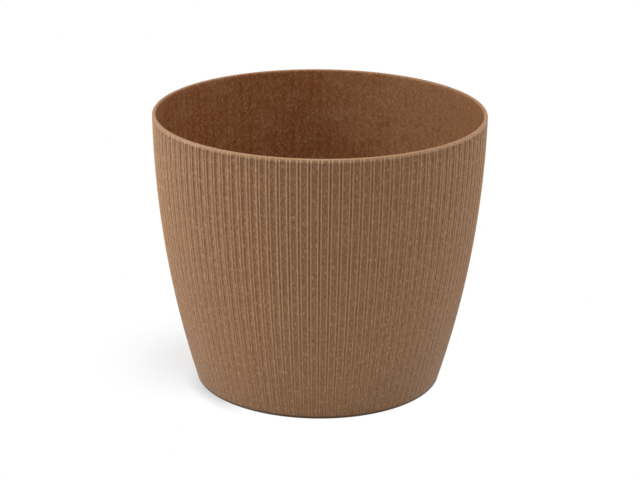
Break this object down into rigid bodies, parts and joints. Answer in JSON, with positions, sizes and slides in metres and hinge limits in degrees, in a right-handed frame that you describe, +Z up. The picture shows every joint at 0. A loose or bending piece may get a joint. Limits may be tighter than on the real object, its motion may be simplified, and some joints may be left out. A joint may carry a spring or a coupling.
{
  "type": "plant pot",
  "caption": "Round, slightly bellied plastic plant pot with fine upright ribs, a thin plain lip, a foot ring, and push-in plugs in the drain holes of its floor.",
  "frame": {"origin": "middle of the foot ring's underside, on the surface that the pot stands on", "axes": "+Z up the pot's axis, -Y towards the viewer of the picture, +X to the viewer's right"},
  "size_m": [0.2098, 0.21, 0.176],
  "materials": {
    "wood_fibre_plastic": "matte",
    "plug_rubber": "matte"
  },
  "bodies": {
    "pot": {"pot_shell": "wood_fibre_plastic"},
    "plug_1": {"drain_plug_1": "plug_rubber"},
    "plug_2": {"drain_plug_2": "plug_rubber"},
    "plug_3": {"drain_plug_3": "plug_rubber"},
    "plug_4": {"drain_plug_4": "plug_rubber"}
  },
  "joints": [
    {"name": "plug_1_pull", "type": "slide", "parent": "pot", "child": "plug_1", "axis": [0, 0, 1], "range_m": [0, 0.185]},
    {"name": "plug_2_pull", "type": "slide", "parent": "pot", "child": "plug_2", "axis": [0, 0, 1], "range_m": [0, 0.185]},
    {"name": "plug_3_pull", "type": "slide", "parent": "pot", "child": "plug_3", "axis": [0, 0, 1], "range_m": [0, 0.185]},
    {"name": "plug_4_pull", "type": "slide", "parent": "pot", "child": "plug_4", "axis": [0, 0, 1], "range_m": [0, 0.185]}
  ]
}
